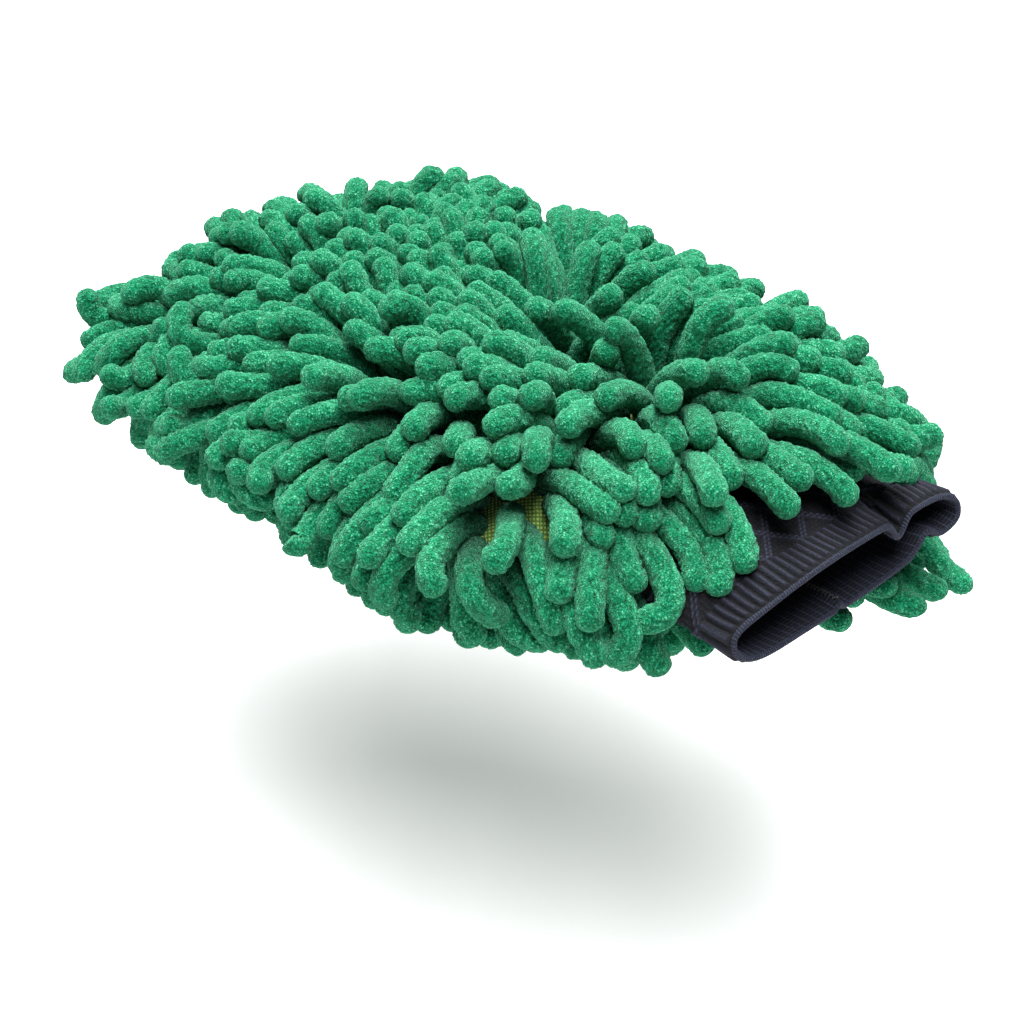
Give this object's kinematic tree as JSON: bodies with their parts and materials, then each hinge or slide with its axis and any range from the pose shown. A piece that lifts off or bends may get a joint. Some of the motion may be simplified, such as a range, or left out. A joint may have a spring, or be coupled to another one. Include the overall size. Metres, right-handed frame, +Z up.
{
  "type": "chenille wash mitt",
  "caption": "Hand mitt covered on both faces with plush chenille fingers, with a knitted elastic cuff, for washing bodywork.",
  "frame": {"origin": "centre of the bottom of the bounding box, on the plane that the palm side's pile rests on", "axes": "+X from the cuff's mouth to the finger end, +Y across the hand, +Z up from the palm side to the back of the hand"},
  "size_m": [0.2688, 0.197, 0.078],
  "materials": {
    "chenille_pile": "matte",
    "backing_knit": "matte",
    "lining": "matte",
    "thread": "satin",
    "cuff_knit": "matte",
    "elastic": "matte"
  },
  "bodies": {
    "hand_section": {"backing_palm_hand": "backing_knit", "backing_top_hand": "backing_knit", "lining_palm_hand": "lining", "lining_top_hand": "lining", "pile_palm_row_01": "chenille_pile", "pile_palm_row_02": "chenille_pile", "pile_palm_row_03": "chenille_pile", "pile_palm_row_04": "chenille_pile", "pile_palm_row_05": "chenille_pile", "pile_palm_row_06": "chenille_pile", "pile_top_row_01": "chenille_pile", "pile_top_row_02": "chenille_pile", "pile_top_row_03": "chenille_pile", "pile_top_row_04": "chenille_pile", "pile_top_row_05": "chenille_pile", "pile_top_row_06": "chenille_pile", "side_seam_thread_left": "thread", "side_seam_thread_right": "thread", "wrist_seam_thread": "thread"},
    "finger_section": {"backing_palm_finger": "backing_knit", "backing_top_finger": "backing_knit", "lining_palm_finger": "lining", "lining_top_finger": "lining", "pile_palm_row_07": "chenille_pile", "pile_palm_row_08": "chenille_pile", "pile_palm_row_09": "chenille_pile", "pile_palm_row_10": "chenille_pile", "pile_palm_row_11": "chenille_pile", "pile_palm_row_12": "chenille_pile", "pile_top_row_07": "chenille_pile", "pile_top_row_08": "chenille_pile", "pile_top_row_09": "chenille_pile", "pile_top_row_10": "chenille_pile", "pile_top_row_11": "chenille_pile", "pile_top_row_12": "chenille_pile", "tip_seam_thread": "thread"},
    "cuff_lower": {"cuff_knit_lower": "cuff_knit", "cuff_rim_lower": "cuff_knit", "cuff_seam_thread": "thread", "elastic_cord_lower": "elastic"},
    "cuff_upper": {"cuff_knit_upper": "cuff_knit", "cuff_rim_upper": "cuff_knit", "elastic_cord_upper": "elastic"}
  },
  "joints": [
    {"name": "knuckle_flex", "type": "hinge", "parent": "hand_section", "child": "finger_section", "pos_m": [0.0085, 0, 0.033], "axis": [0, 1, 0], "range_deg": [-10, 25]},
    {"name": "cuff_flex", "type": "hinge", "parent": "hand_section", "child": "cuff_lower", "pos_m": [-0.0915, 0, 0.033], "axis": [0, 1, 0], "range_deg": [-20, 20]},
    {"name": "cuff_mouth_open", "type": "hinge", "parent": "cuff_lower", "child": "cuff_upper", "pos_m": [-0.0955, 0, 0.0455], "axis": [0, 1, 0], "range_deg": [0, 12]}
  ]
}
